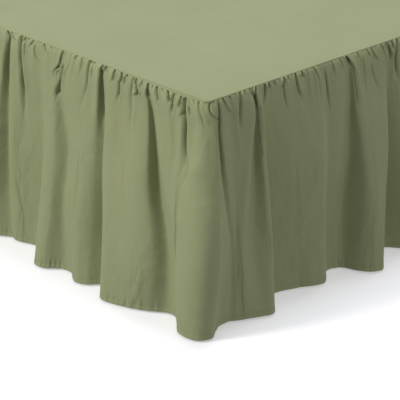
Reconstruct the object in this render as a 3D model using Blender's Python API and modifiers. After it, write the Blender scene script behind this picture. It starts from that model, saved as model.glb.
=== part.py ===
"""Gathered bed skirt on a plain bed base, in metres, +Z up.

The origin is on the floor, under the middle of the whole thing. The foot of the bed is at -Y and
the head at +Y. A flat deck panel lies on the base. Three gathered panels hang from the deck's
edge to just above the floor: one round the foot and both foot corners, and one down each side.
The head end has no skirt, so the base and the room under the bed show there.

The path of the skirt is measured by u from the corner between the foot and the +X side. u is
positive up that side and negative along the foot. A place in the cloth is (u, out, depth): out
is how far it stands off the deck's edge, and depth is how far it is below the seam.
"""

import math
import random
from collections import namedtuple

import bmesh
import bpy

# Driving sizes
BED_WIDTH = 0.990
BED_LENGTH = 1.905
BED_HEIGHT = 0.381
SHEET = 0.0018
TOUCH = 0.0003

# Deck panel
DECK_THICK = 0.002
DECK_CORNER = 0.014
DECK_BEND = 0.006
DECK_LIP = 0.009
BEND_STEPS = 3
CORNER_STEPS = 6

# Skirt
HEM_ABOVE_FLOOR = 0.004
SEAM_HEIGHT = BED_HEIGHT - DECK_LIP - TOUCH
DROP = SEAM_HEIGHT - HEM_ABOVE_FLOOR
HEM_REACH = 0.070
PANEL_GAP = 0.0003
GATHER = 0.0014
GATHER_DEPTH = 0.030
OPENING_DEPTH = 0.0075
OPENING_POWER = 1.4
SEAM_SHARE = 0.80
COLUMN_STEP = 0.0115
END_STRIP = 0.12

# The whole thing is moved so that the origin is under the middle of its outline.
SHIFT_Y = HEM_REACH / 2
FOOT_Y = -BED_LENGTH / 2 + SHIFT_Y
HEAD_Y = BED_LENGTH / 2 + SHIFT_Y
MIDDLE_OF_FOOT = -BED_WIDTH / 2
HEAD_ON_LEFT = 2 * MIDDLE_OF_FOOT - BED_LENGTH
HEAD_ON_RIGHT = BED_LENGTH

# Base
BASE_INSET = 0.006
BASE_BEVEL = 0.015
BASE_BEVEL_STEPS = 4
BASE_DEPTH = 0.190
LEG_RADIUS = 0.025
LEG_FOOT_RADIUS = 0.020
LEG_SIDES = 24
LEG_FROM_SIDE = 0.070
LEG_FROM_END = 0.110

# Where the folds are given, below the seam, and the rows of points that the panels are built on
UPPER = 0.045
MIDDLE = 0.152
LOWER = 0.242
LEVELS = (0.0, UPPER, MIDDLE, LOWER, DROP)
ROWS = (0.0, 0.003, 0.020, 0.055, 0.115, 0.195, 0.280, DROP)

# A turn is a crest, a valley or a shoulder of the cloth, followed from the seam to the hem.
# The first five columns are its place along the edge, and the last four how far it stands out.
Turn = namedtuple("Turn", "seam upper middle lower hem out_upper out_middle out_lower out_hem")

FOOT_TURNS = (
    Turn(-0.490, -0.490, -0.494, -0.499, -0.516, 0.013, 0.026, 0.036, 0.038),
    Turn(-0.478, -0.481, -0.480, -0.479, -0.474, 0.002, 0.009, 0.0135, 0.0165),
    Turn(-0.463, -0.464, -0.467, -0.468, -0.460, 0.012, 0.018, 0.0205, 0.0195),
    Turn(-0.392, -0.390, -0.386, -0.388, -0.402, 0.009, 0.008, 0.006, 0.012),
    Turn(-0.378, -0.374, -0.364, -0.360, -0.364, 0.013, 0.029, 0.043, 0.059),
    Turn(-0.354, -0.352, -0.337, -0.331, -0.342, 0.013, 0.031, 0.046, 0.062),
    Turn(-0.342, -0.343, -0.318, -0.313, -0.311, 0.008, 0.014, 0.031, 0.0390),
    Turn(-0.330, -0.331, -0.298, -0.292, -0.288, 0.012, 0.024, 0.037, 0.0395),
    Turn(-0.262, -0.260, -0.266, -0.264, -0.259, 0.013, 0.029, 0.043, 0.059),
    Turn(-0.247, -0.243, -0.246, -0.243, -0.238, 0.012, 0.023, 0.033, 0.052),
    Turn(-0.241, -0.2375, -0.2285, -0.2195, -0.2140, 0.002, 0.009, 0.0085, 0.0295),
    Turn(-0.230, -0.222, -0.211, -0.192, -0.185, 0.013, 0.034, 0.053, 0.068),
    Turn(-0.198, -0.196, -0.178, -0.165, -0.160, 0.013, 0.038, 0.057, 0.071),
    Turn(-0.140, -0.1245, -0.103, -0.080, -0.094, 0.011, 0.036, 0.050, 0.0455),
    Turn(-0.133, -0.123, -0.096, -0.061, -0.064, 0.002, 0.014, 0.028, 0.0270),
)

CORNER_TURNS = (
    Turn(-0.124, -0.105, -0.066, -0.035, -0.0449, 0.013, 0.033, 0.042, 0.0292),
    Turn(-0.070, -0.056, -0.036, -0.020, -0.0183, 0.012, 0.040, 0.053, 0.0477),
    Turn(-0.018, -0.017, -0.016, -0.0145, -0.0107, 0.012, 0.043, 0.0560, 0.0660),
    Turn(-0.008, -0.006, -0.0026, -0.0018, -0.0034, 0.016, 0.0585, 0.0787, 0.0778),
    Turn(0.001, 0.001, 0.0037, 0.0026, 0.0005, 0.0155, 0.0525, 0.0720, 0.0718),
    Turn(0.0125, 0.0095, 0.0072, 0.0068, 0.0041, 0.0155, 0.0420, 0.0520, 0.0431),
    Turn(0.0160, 0.0114, 0.0100, 0.0119, 0.0093, 0.006, 0.033, 0.0370, 0.0268),
    Turn(0.0180, 0.0128, 0.0138, 0.0203, 0.0215, 0.002, 0.021, 0.0295, 0.0255),
)

SIDE_TURNS = (
    Turn(0.0210, 0.0152, 0.0225, 0.0270, 0.0340, 0.014, 0.0245, 0.0320, 0.0330),
    Turn(0.040, 0.042, 0.038, 0.0320, 0.0420, 0.010, 0.0225, 0.0350, 0.0370),
    Turn(0.0865, 0.0875, 0.058, 0.0385, 0.0500, 0.0145, 0.028, 0.0390, 0.0410),
    Turn(0.0925, 0.0935, 0.087, 0.070, 0.0735, 0.001, 0.014, 0.031, 0.051),
    Turn(0.0975, 0.0985, 0.097, 0.092, 0.0885, 0.0135, 0.030, 0.045, 0.0565),
    Turn(0.105, 0.1065, 0.1065, 0.102, 0.1005, 0.0125, 0.029, 0.044, 0.053),
    Turn(0.116, 0.118, 0.1205, 0.122, 0.129, 0.006, 0.005, 0.002, 0.006),
    Turn(0.165, 0.160, 0.170, 0.180, 0.192, 0.012, 0.018, 0.017, 0.0155),
    Turn(0.236, 0.238, 0.2325, 0.233, 0.236, 0.012, 0.032, 0.035, 0.0345),
    Turn(0.250, 0.255, 0.256, 0.262, 0.278, 0.010, 0.018, 0.009, 0.002),
    Turn(0.296, 0.288, 0.280, 0.284, 0.292, 0.013, 0.021, 0.009, 0.005),
    Turn(0.315, 0.318, 0.317, 0.308, 0.3035, 0.002, 0.008, 0.006, 0.012),
    Turn(0.320, 0.3225, 0.328, 0.327, 0.315, 0.013, 0.033, 0.045, 0.040),
    Turn(0.350, 0.352, 0.350, 0.343, 0.329, 0.013, 0.039, 0.054, 0.060),
    Turn(0.392, 0.398, 0.383, 0.367, 0.347, 0.012, 0.038, 0.051, 0.067),
    Turn(0.414, 0.412, 0.404, 0.401, 0.408, 0.005, 0.005, 0.002, 0.002),
    Turn(0.430, 0.430, 0.434, 0.440, 0.450, 0.012, 0.029, 0.042, 0.046),
)

# Folds out of sight of the two corners follow a rule: their pitch and depths vary between these.
FOLD_PITCH = (0.068, 0.106)
FOLD_SEED = 11
CREST_OUTS = ((0.011, 0.015), (0.024, 0.033), (0.036, 0.050), (0.050, 0.074))
VALLEY_OUTS = ((0.003, 0.005), (0.006, 0.013), (0.008, 0.020), (0.007, 0.034))
DRIFT = 0.012
CREST_SPREAD = 0.4
VALLEY_SPREAD = 0.7
PLAIN_FROM_HEAD = 0.015
PLAIN_PAST_LEFT_CORNER = 0.030
PLAIN_PAST_FOOT_CORNER = 0.012
PLAIN_BEFORE_SEEN_FOOT = 0.028
PLAIN_PAST_SEEN_SIDE = 0.022

# The cloth's free edges at the head end stand off the deck this far.
PAST_HEAD = 0.002
HEAD_OUTS = (0.006, 0.012, 0.018, 0.024)

Paint = namedtuple("Paint", "colour roughness")
SAGE_CLOTH = Paint((0.300, 0.335, 0.175), 0.85)
TICKING = Paint((0.700, 0.680, 0.620), 0.90)
WOOD = Paint((0.330, 0.200, 0.110), 0.55)


def clear_scene():
    for old in list(bpy.data.objects):
        bpy.data.objects.remove(old)


def make_collection(name):
    collection = bpy.data.collections.new(name)
    bpy.context.scene.collection.children.link(collection)
    return collection


def make_material(name, paint):
    material = bpy.data.materials.new(name)
    material.use_nodes = True
    shader = material.node_tree.nodes["Principled BSDF"]
    shader.inputs["Base Color"].default_value = (*paint.colour, 1.0)
    shader.inputs["Roughness"].default_value = paint.roughness
    shader.inputs["Metallic"].default_value = 0.0
    return material


def add_object(name, mesh, material, collection, location=(0, 0, 0)):
    made = bpy.data.objects.new(name, mesh)
    made.location = location
    mesh.materials.append(material)
    collection.objects.link(made)
    return made


def grid_mesh(name, columns, closed=False):
    """A sheet of quads through columns of points, closed into a ring if asked."""
    mesh = bpy.data.meshes.new(name)
    rows = len(columns[0])
    points = [point for column in columns for point in column]
    last = len(columns) if closed else len(columns) - 1
    faces = []
    for i in range(last):
        here, there = i * rows, (i + 1) % len(columns) * rows
        for j in range(rows - 1):
            faces.append((here + j, here + j + 1, there + j + 1, there + j))
    mesh.from_pydata(points, [], faces)
    mesh.shade_smooth()
    return mesh


def solidify(made, thickness, offset):
    shell = made.modifiers.new("cloth", "SOLIDIFY")
    shell.thickness = thickness
    shell.offset = offset
    return shell


def along(start, end, share):
    return start + (end - start) * share


def curve_through(points, share):
    """A smooth place from the second to the third of four points, its slopes set by their gaps."""
    gaps = [max(math.dist(p, q), 1e-6) ** 0.5 for p, q in zip(points, points[1:])]
    found = []
    for before, start, end, after in zip(*points):
        rises = [(start - before) / gaps[0], (end - start) / gaps[1], (after - end) / gaps[2]]
        slope_in = (rises[0] * gaps[1] + rises[1] * gaps[0]) / (gaps[0] + gaps[1]) * gaps[1]
        slope_out = (rises[1] * gaps[2] + rises[2] * gaps[1]) / (gaps[1] + gaps[2]) * gaps[1]
        near = (1 + 2 * share) * (1 - share) ** 2 * start + share * (1 - share) ** 2 * slope_in
        far = share**2 * (3 - 2 * share) * end + share**2 * (share - 1) * slope_out
        found.append(near + far)
    return found


def smooth_between(places, values, place):
    """A cubic through uneven places, with each slope taken from its neighbours."""
    slopes = []
    for i in range(len(places)):
        low, high = max(i - 1, 0), min(i + 1, len(places) - 1)
        slopes.append((values[high] - values[low]) / (places[high] - places[low]))
    i = 0
    while i < len(places) - 2 and place > places[i + 1]:
        i += 1
    span = places[i + 1] - places[i]
    t = (place - places[i]) / span
    start = (1 + 2 * t) * (1 - t) ** 2 * values[i] + t * (1 - t) ** 2 * span * slopes[i]
    end = t * t * (3 - 2 * t) * values[i + 1] + t * t * (t - 1) * span * slopes[i + 1]
    return start + end


def edge_point(u, out):
    """Where a place u along the deck's edge, standing out from it, lies over the floor."""
    if u < MIDDLE_OF_FOOT:
        x, y = edge_point(2 * MIDDLE_OF_FOOT - u, out)
        return -x, y
    if u > DECK_CORNER:
        return BED_WIDTH / 2 + out, FOOT_Y + u
    if u < -DECK_CORNER:
        return BED_WIDTH / 2 + u, FOOT_Y - out
    angle = (u / DECK_CORNER - 1) * math.pi / 4
    reach = DECK_CORNER + out
    x = BED_WIDTH / 2 - DECK_CORNER + reach * math.cos(angle)
    return x, FOOT_Y + DECK_CORNER + reach * math.sin(angle)


def mirrored(turn):
    """The same turn at the other foot corner."""
    places = (2 * MIDDLE_OF_FOOT - place for place in turn[:5])
    return Turn(*places, *turn[5:])


def plain_folds(start, end, rng):
    """Crests and valleys from start to end, as uneven as gathers hang, for what is out of sight."""
    count = max(1, round((end - start) / sum(FOLD_PITCH) * 2))
    widths = [rng.uniform(*FOLD_PITCH) for _ in range(count)]
    stretch = (end - start) / sum(widths)
    turns, place = [], start
    for width in widths:
        pitch = width * stretch
        lean = rng.uniform(-DRIFT, DRIFT)
        crest = place + pitch * rng.uniform(0.22, 0.34)
        valley = place + pitch * rng.uniform(0.72, 0.86)
        pair = ((crest, CREST_OUTS, CREST_SPREAD), (valley, VALLEY_OUTS, VALLEY_SPREAD))
        for middle, outs, spread in pair:
            sizes = [rng.uniform(*limits) for limits in outs]
            shifts = (0.0, lean * spread / 2, lean * spread, lean * (1 + spread) / 2, lean)
            turns.append(Turn(*(middle + shift for shift in shifts), *sizes))
        place += pitch
    return turns


def all_turns():
    """Every turn of the cloth, from the head end of the -X side round to that of the +X side."""
    rng = random.Random(FOLD_SEED)
    far_corner = [mirrored(turn) for turn in reversed(CORNER_TURNS)]
    head_left = [Turn(*[HEAD_ON_LEFT - PAST_HEAD] * 5, *HEAD_OUTS)]
    head_right = [Turn(*[HEAD_ON_RIGHT + PAST_HEAD] * 5, *HEAD_OUTS)]
    left_start, left_end = HEAD_ON_LEFT + PLAIN_FROM_HEAD, far_corner[0].seam - PLAIN_PAST_LEFT_CORNER
    left = plain_folds(left_start, left_end, rng)
    foot_start = far_corner[-1].seam + PLAIN_PAST_FOOT_CORNER
    foot = plain_folds(foot_start, FOOT_TURNS[0].seam - PLAIN_BEFORE_SEEN_FOOT, rng)
    right_start = SIDE_TURNS[-1].seam + PLAIN_PAST_SEEN_SIDE
    right = plain_folds(right_start, HEAD_ON_RIGHT - PLAIN_FROM_HEAD, rng)
    seen = [*FOOT_TURNS, *CORNER_TURNS, *SIDE_TURNS]
    return [*head_left, *left, *far_corner, *foot, *seen, *right, *head_right]


def turn_at(turn, depth):
    """(u, out) of one turn at a depth below the seam."""
    outs = (turn.out_upper * SEAM_SHARE, *turn[5:])
    below = max(0.0, depth - ROWS[1])
    opened = 1 - math.exp(-((below / OPENING_DEPTH) ** OPENING_POWER))
    return smooth_between(LEVELS, turn[:5], depth), smooth_between(LEVELS, outs, depth) * opened


def cloth_place(turns, t, depth):
    """(u, out) of the cloth at t, whose whole part counts the turns, at a depth below the seam."""
    i = min(int(t), len(turns) - 2)
    around = [turn_at(turns[max(0, min(k, len(turns) - 1))], depth) for k in range(i - 1, i + 3)]
    return curve_through(around, t - i)


def seam_turn(turns, u):
    """The t at which the cloth passes u at the hem."""
    for i in range(len(turns) - 1):
        if turns[i].hem <= u <= turns[i + 1].hem:
            return i + (u - turns[i].hem) / (turns[i + 1].hem - turns[i].hem)
    return 0.0 if u < turns[0].hem else len(turns) - 1.0


def column_places(turns, start, end):
    """Values of t from start to end, about COLUMN_STEP of cloth apart at the MIDDLE line."""
    stops = sorted({start, *range(math.ceil(start), math.floor(end) + 1), end})
    places = []
    for t0, t1 in zip(stops, stops[1:]):
        first, last = (edge_point(*cloth_place(turns, t, MIDDLE)) for t in (t0, t1))
        steps = max(2, min(5, round(math.dist(first, last) / COLUMN_STEP))) if t1 - t0 > 0.4 else 1
        places += [along(t0, t1, k / steps) for k in range(steps)]
    return [start, start + END_STRIP, *places[1:], end - END_STRIP, end]


def skirt_column(turns, t, gather):
    """The points of one column of a panel, from its seam to its hem, with its small gather."""
    column = []
    for depth in ROWS:
        u, out = cloth_place(turns, t, depth)
        gathered = gather * math.exp(-max(0.0, depth - ROWS[1]) / GATHER_DEPTH)
        x, y = edge_point(u, out + gathered - SHEET / 2)
        column.append((x, y, SEAM_HEIGHT - depth))
    return column


def trimmed(edge, inner):
    """A panel's edge column, moved towards the next one to leave a gap beside the next panel."""
    shares = [PANEL_GAP / math.dist(p, q) for p, q in zip(edge, inner)]
    return [tuple(along(a, b, s) for a, b in zip(p, q)) for p, q, s in zip(edge, inner, shares)]


def skirt_panel(name, turns, start, end, material, collection):
    """One gathered panel between two values of t."""
    places = column_places(turns, start, end)
    gathers = [GATHER * (-1) ** number for number in range(len(places))]
    gathers[:3] = gathers[-3:] = [0.0] * 3
    columns = [skirt_column(turns, t, gather) for t, gather in zip(places, gathers)]
    columns[0] = trimmed(columns[0], columns[1])
    columns[-1] = trimmed(columns[-1], columns[-2])
    mesh = grid_mesh(name, columns)
    solidify(add_object(name, mesh, material, collection), SHEET, 0.0)


def skirt(material, collection):
    """The three panels. The seams between them run down just past the two foot corners."""
    turns = all_turns()
    right = turns.index(SIDE_TURNS[0]) + 0.5
    left = turns.index(mirrored(CORNER_TURNS[-1])) - 0.5
    first = seam_turn(turns, HEAD_ON_LEFT)
    last = seam_turn(turns, HEAD_ON_RIGHT)
    skirt_panel("skirt_left_side", turns, first, left, material, collection)
    skirt_panel("skirt_foot", turns, left, right, material, collection)
    skirt_panel("skirt_right_side", turns, right, last, material, collection)


def deck_outline(inset, z):
    """Points round the deck's outline, moved in by inset, at a height."""
    points = []
    radius = DECK_CORNER - inset
    for side_x, side_y, turn in ((1, -1, -90), (1, 1, 0), (-1, 1, 90), (-1, -1, 180)):
        centre_x = side_x * (BED_WIDTH / 2 - DECK_CORNER)
        centre_y = FOOT_Y + DECK_CORNER if side_y < 0 else HEAD_Y - DECK_CORNER
        for step in range(CORNER_STEPS + 1):
            angle = math.radians(turn + 90 * step / CORNER_STEPS)
            x, y = centre_x + radius * math.cos(angle), centre_y + radius * math.sin(angle)
            points.append((x, y, z))
    return points


def deck(material, collection):
    """The flat panel that lies on the base, with its edge turned down to the seam."""
    bend = [math.radians(90 * step / BEND_STEPS) for step in range(BEND_STEPS + 1)]
    profile = [
        (DECK_BEND * (1 - math.sin(a)), BED_HEIGHT - DECK_BEND * (1 - math.cos(a))) for a in bend
    ]
    profile.append((0.0, BED_HEIGHT - DECK_LIP))
    rings = [deck_outline(inset, z) for inset, z in profile]
    mesh = grid_mesh("deck_panel", list(zip(*rings)), closed=True)
    shape = bmesh.new()
    shape.from_mesh(mesh)
    top = [e for e in shape.edges if e.is_boundary and e.verts[0].co.z > BED_HEIGHT - TOUCH]
    bmesh.ops.contextual_create(shape, geom=top)
    bmesh.ops.recalc_face_normals(shape, faces=shape.faces)
    shape.to_mesh(mesh)
    shape.free()
    solidify(add_object("deck_panel", mesh, material, collection), DECK_THICK, -1.0)


def base_box(material, collection):
    """The upholstered box of the bed base, with rounded edges."""
    top = BED_HEIGHT - DECK_THICK - TOUCH
    size = (BED_WIDTH - 2 * BASE_INSET, BED_LENGTH - 2 * BASE_INSET, BASE_DEPTH)
    shape = bmesh.new()
    bmesh.ops.create_cube(shape, size=1.0)
    bmesh.ops.scale(shape, vec=size, verts=shape.verts)
    mesh = bpy.data.meshes.new("base_box")
    shape.to_mesh(mesh)
    shape.free()
    made = add_object("base_box", mesh, material, collection, (0, SHIFT_Y, top - BASE_DEPTH / 2))
    rounded = made.modifiers.new("rounded", "BEVEL")
    rounded.width = BASE_BEVEL
    rounded.segments = BASE_BEVEL_STEPS


def base_legs(material, collection):
    """Six round legs under the box, standing on the floor."""
    height = BED_HEIGHT - DECK_THICK - TOUCH - BASE_DEPTH - TOUCH
    ends = (FOOT_Y + LEG_FROM_END, SHIFT_Y, HEAD_Y - LEG_FROM_END)
    sides = (BED_WIDTH / 2 - LEG_FROM_SIDE, LEG_FROM_SIDE - BED_WIDTH / 2)
    number = 0
    for y in ends:
        for x in sides:
            number += 1
            shape = bmesh.new()
            bmesh.ops.create_cone(
                shape,
                cap_ends=True,
                segments=LEG_SIDES,
                radius1=LEG_FOOT_RADIUS,
                radius2=LEG_RADIUS,
                depth=height,
            )
            mesh = bpy.data.meshes.new("base_leg")
            shape.to_mesh(mesh)
            shape.free()
            add_object(f"base_leg_{number}", mesh, material, collection, (x, y, height / 2))


def main():
    clear_scene()
    parts = make_collection("gathered_bed_skirt")
    cloth = make_material("sage_cloth", SAGE_CLOTH)
    ticking = make_material("base_ticking", TICKING)
    wood = make_material("leg_wood", WOOD)
    deck(cloth, parts)
    skirt(cloth, parts)
    base_box(ticking, parts)
    base_legs(wood, parts)


main()
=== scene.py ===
import math
import random
from collections import namedtuple

import bpy
import numpy as np
from mathutils import Matrix, Vector


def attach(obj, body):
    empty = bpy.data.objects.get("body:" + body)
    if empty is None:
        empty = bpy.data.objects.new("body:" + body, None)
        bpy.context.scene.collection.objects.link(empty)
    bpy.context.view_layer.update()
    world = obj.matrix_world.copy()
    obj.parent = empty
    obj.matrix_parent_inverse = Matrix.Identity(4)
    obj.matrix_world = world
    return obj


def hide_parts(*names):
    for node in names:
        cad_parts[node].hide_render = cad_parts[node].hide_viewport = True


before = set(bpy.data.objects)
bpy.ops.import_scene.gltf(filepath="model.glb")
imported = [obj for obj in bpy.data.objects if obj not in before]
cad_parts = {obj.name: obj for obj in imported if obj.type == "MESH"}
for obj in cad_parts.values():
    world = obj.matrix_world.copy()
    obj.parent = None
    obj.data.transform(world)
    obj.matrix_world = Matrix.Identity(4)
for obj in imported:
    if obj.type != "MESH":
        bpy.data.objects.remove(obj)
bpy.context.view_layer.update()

# the bed, in metres: the origin is on the floor under the middle, the foot is at -Y
bed = {
    "width": 0.990,
    "length": 1.905,
    "height": 0.381,
    "corner": 0.014,        # radius of the deck's corners
    "lip": 0.0093,          # from the top of the deck to where the skirt starts to fall
    "hemHeight": 0.004,     # how far the hem hangs above the floor
    "shiftY": 0.035,
}
footY = bed["shiftY"] - bed["length"] / 2
headY = bed["shiftY"] + bed["length"] / 2
seamZ = bed["height"] - bed["lip"]
midFoot = -bed["width"] / 2
endOfSide = bed["length"]
fullDrop = seamZ - bed["hemHeight"]


def newMaterial(name):
    made = bpy.data.materials.new(name)
    made.use_nodes = True
    nodes, links = made.node_tree.nodes, made.node_tree.links
    nodes.clear()
    out = nodes.new("ShaderNodeOutputMaterial")
    shader = nodes.new("ShaderNodeBsdfPrincipled")
    links.new(shader.outputs[0], out.inputs[0])
    return made, nodes, links, shader


def addNode(nodes, kind, settings=None, **values):
    made = nodes.new(kind)
    for key, value in (settings or {}).items():
        setattr(made, key, value)
    for key, value in values.items():
        made.inputs[key.replace("_", " ")].default_value = value
    return made


def tint(nodes, links, source, shader, low, high):
    # a ramp between two (position, colour) stops, into the base colour
    ramp = addNode(nodes, "ShaderNodeValToRGB")
    for stop, (position, colour) in zip(ramp.color_ramp.elements, (low, high)):
        stop.position = position
        stop.color = colour
    links.new(source, ramp.inputs[0])
    links.new(ramp.outputs[0], shader.inputs["Base Color"])


def bump(nodes, links, source, strength, distance, below=None):
    made = addNode(nodes, "ShaderNodeBump", Strength=strength, Distance=distance)
    links.new(source, made.inputs["Height"])
    if below:
        links.new(below.outputs[0], made.inputs["Normal"])
    return made


def mixed(nodes, links, operation, first, second):
    # one sum of two sockets, or of a socket and a number
    made = addNode(nodes, "ShaderNodeMath", {"operation": operation})
    for slot, value in zip(made.inputs, (first, second)):
        if isinstance(value, float):
            slot.default_value = value
        else:
            links.new(value, slot)
    return made.outputs[0]


def threads(nodes, links, place, direction, scale):
    wave = addNode(nodes, "ShaderNodeTexWave", {"bands_direction": direction}, Scale=scale)
    links.new(place, wave.inputs["Vector"])
    return wave.outputs[1]


def noise(nodes, links, place, **values):
    made = addNode(nodes, "ShaderNodeTexNoise", **values)
    links.new(place, made.inputs["Vector"])
    return made.outputs[0]


def stretched(nodes, links, place, **values):
    made = addNode(nodes, "ShaderNodeMapping", **values)
    links.new(place, made.inputs["Vector"])
    return made.outputs[0]


sageCloth = {
    "dark": (0.32, (0.318, 0.345, 0.172, 1)),
    "light": (0.68, (0.345, 0.372, 0.192, 1)),
    "slubs": (900, 60, 1),  # how close together, along the panel and down it
    "slubShare": 0.35,      # the rest of the colour's unevenness is cloudy
    "clouds": 9.0,
    "thread": 0.00042,      # pitch of the weave, along each thread
    "weave": (0.18, 0.0002),
    "rumple": 46.0,
    "rumpleBump": (0.10, 0.004),
    "hang": (24, 9, 1),     # how close together the long crumples are, along and down
    "hangTurn": 0.1,
    "crumpleDepth": 0.009,
    "crumple": 0.75,        # on the hanging cloth, and on the cloth that lies on the base
    "deckCrumple": 0.10,
    "roughness": 0.82,
    "specular": 0.22,
    "sheen": 0.22,
    "sheenRoughness": 0.45,
    "sheenTint": (0.80, 0.85, 0.70, 1),
}


def clothMaterial(name, worn):
    made, nodes, links, shader = newMaterial(name)
    uv = addNode(nodes, "ShaderNodeUVMap", {"uv_map": "clothMetres"}).outputs[0]
    place = addNode(nodes, "ShaderNodeTexCoord").outputs["Object"]

    # faint slubs, longer along the warp than across it, and clouds
    grain = stretched(nodes, links, uv, Scale=sageCloth["slubs"])
    slub = noise(nodes, links, grain, Scale=1.0, Detail=2.0, Roughness=0.5)
    cloud = noise(nodes, links, place, Scale=sageCloth["clouds"], Detail=3.0, Roughness=0.55)
    slubs = mixed(nodes, links, "MULTIPLY", slub, sageCloth["slubShare"])
    clouds = mixed(nodes, links, "MULTIPLY", cloud, 1 - sageCloth["slubShare"])
    uneven = mixed(nodes, links, "ADD", slubs, clouds)
    tint(nodes, links, uneven, shader, sageCloth["dark"], sageCloth["light"])

    # the weave: two sets of threads, over and under
    turns = 2 * math.pi / sageCloth["thread"] / 20
    across, down = (threads(nodes, links, uv, direction, turns) for direction in "XY")
    cross = mixed(nodes, links, "MAXIMUM", across, down)
    rumple = noise(nodes, links, place, Scale=sageCloth["rumple"], Detail=3.0, Roughness=0.5)
    turn = (0, 0, sageCloth["hangTurn"])
    hang = stretched(nodes, links, uv, Scale=sageCloth["hang"], Rotation=turn)
    crumple = noise(nodes, links, hang, Scale=1.0, Detail=3.0, Roughness=0.5, Distortion=0.6)
    weaveBump = bump(nodes, links, cross, *sageCloth["weave"])
    softBump = bump(nodes, links, rumple, *sageCloth["rumpleBump"], weaveBump)
    wornBump = bump(nodes, links, crumple, worn, sageCloth["crumpleDepth"], softBump)
    links.new(wornBump.outputs[0], shader.inputs["Normal"])

    shader.inputs["Roughness"].default_value = sageCloth["roughness"]
    shader.inputs["Specular IOR Level"].default_value = sageCloth["specular"]
    shader.inputs["Sheen Weight"].default_value = sageCloth["sheen"]
    shader.inputs["Sheen Roughness"].default_value = sageCloth["sheenRoughness"]
    shader.inputs["Sheen Tint"].default_value = sageCloth["sheenTint"]
    return made


sewingThread = {
    "dark": (0.0, (0.205, 0.230, 0.100, 1)),
    "light": (1.0, (0.300, 0.325, 0.160, 1)),
    "plies": 900.0,
    "bump": (0.3, 0.0001),
    "roughness": 0.6,
}


def threadMaterial():
    # two plies twisted together, a little darker than the cloth
    made, nodes, links, shader = newMaterial("sewingThread")
    place = addNode(nodes, "ShaderNodeTexCoord").outputs["Object"]
    plies = threads(nodes, links, place, "DIAGONAL", sewingThread["plies"])
    tint(nodes, links, plies, shader, sewingThread["dark"], sewingThread["light"])
    raised = bump(nodes, links, plies, *sewingThread["bump"])
    links.new(raised.outputs[0], shader.inputs["Normal"])
    shader.inputs["Roughness"].default_value = sewingThread["roughness"]
    return made


baseTicking = {
    "dark": (0.3, (0.60, 0.57, 0.50, 1)),
    "light": (0.7, (0.71, 0.69, 0.62, 1)),
    "threads": 320.0,
    "clouds": 14.0,
    "bump": (0.25, 0.0006),
    "roughness": 0.9,
    "specular": 0.2,
}


def tickingMaterial():
    made, nodes, links, shader = newMaterial("baseTicking")
    place = addNode(nodes, "ShaderNodeTexCoord").outputs["Object"]
    pitch = baseTicking["threads"]
    x, y, z = (threads(nodes, links, place, direction, pitch) for direction in "XYZ")
    weave = mixed(nodes, links, "ADD", mixed(nodes, links, "MULTIPLY", x, y), z)
    cloud = noise(nodes, links, place, Scale=baseTicking["clouds"], Detail=4.0)
    tint(nodes, links, cloud, shader, baseTicking["dark"], baseTicking["light"])
    raised = bump(nodes, links, weave, *baseTicking["bump"])
    links.new(raised.outputs[0], shader.inputs["Normal"])
    shader.inputs["Roughness"].default_value = baseTicking["roughness"]
    shader.inputs["Specular IOR Level"].default_value = baseTicking["specular"]
    return made


legWood = {
    "dark": (0.35, (0.17, 0.085, 0.040, 1)),
    "light": (0.66, (0.36, 0.215, 0.115, 1)),
    "grain": (26, 26, 2.2),
    "bump": (0.15, 0.0006),
    "roughness": 0.42,
    "coat": 0.15,
}


def woodMaterial():
    made, nodes, links, shader = newMaterial("legWood")
    place = addNode(nodes, "ShaderNodeTexCoord").outputs["Object"]
    along = stretched(nodes, links, place, Scale=legWood["grain"])
    grain = noise(nodes, links, along, Scale=3.0, Detail=7.0, Roughness=0.62, Distortion=0.9)
    tint(nodes, links, grain, shader, legWood["dark"], legWood["light"])
    raised = bump(nodes, links, grain, *legWood["bump"])
    links.new(raised.outputs[0], shader.inputs["Normal"])
    shader.inputs["Roughness"].default_value = legWood["roughness"]
    shader.inputs["Coat Weight"].default_value = legWood["coat"]
    return made


cloth = clothMaterial("sageCotton", sageCloth["crumple"])
deckCloth = clothMaterial("sageCottonLaid", sageCloth["deckCrumple"])
threadCloth = threadMaterial()
ticking = tickingMaterial()
wood = woodMaterial()


# u is a place along the deck's edge: 0 at the corner between the foot and the +X side, positive up
# that side and negative along the foot. Each turn is a crest, valley or shoulder of the cloth:
# where it is along the edge at five heights, and how far it stands out at the lower four.
Turn = namedtuple("Turn", "seam upper middle lower hem outUpper outMiddle outLower outHem")

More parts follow.
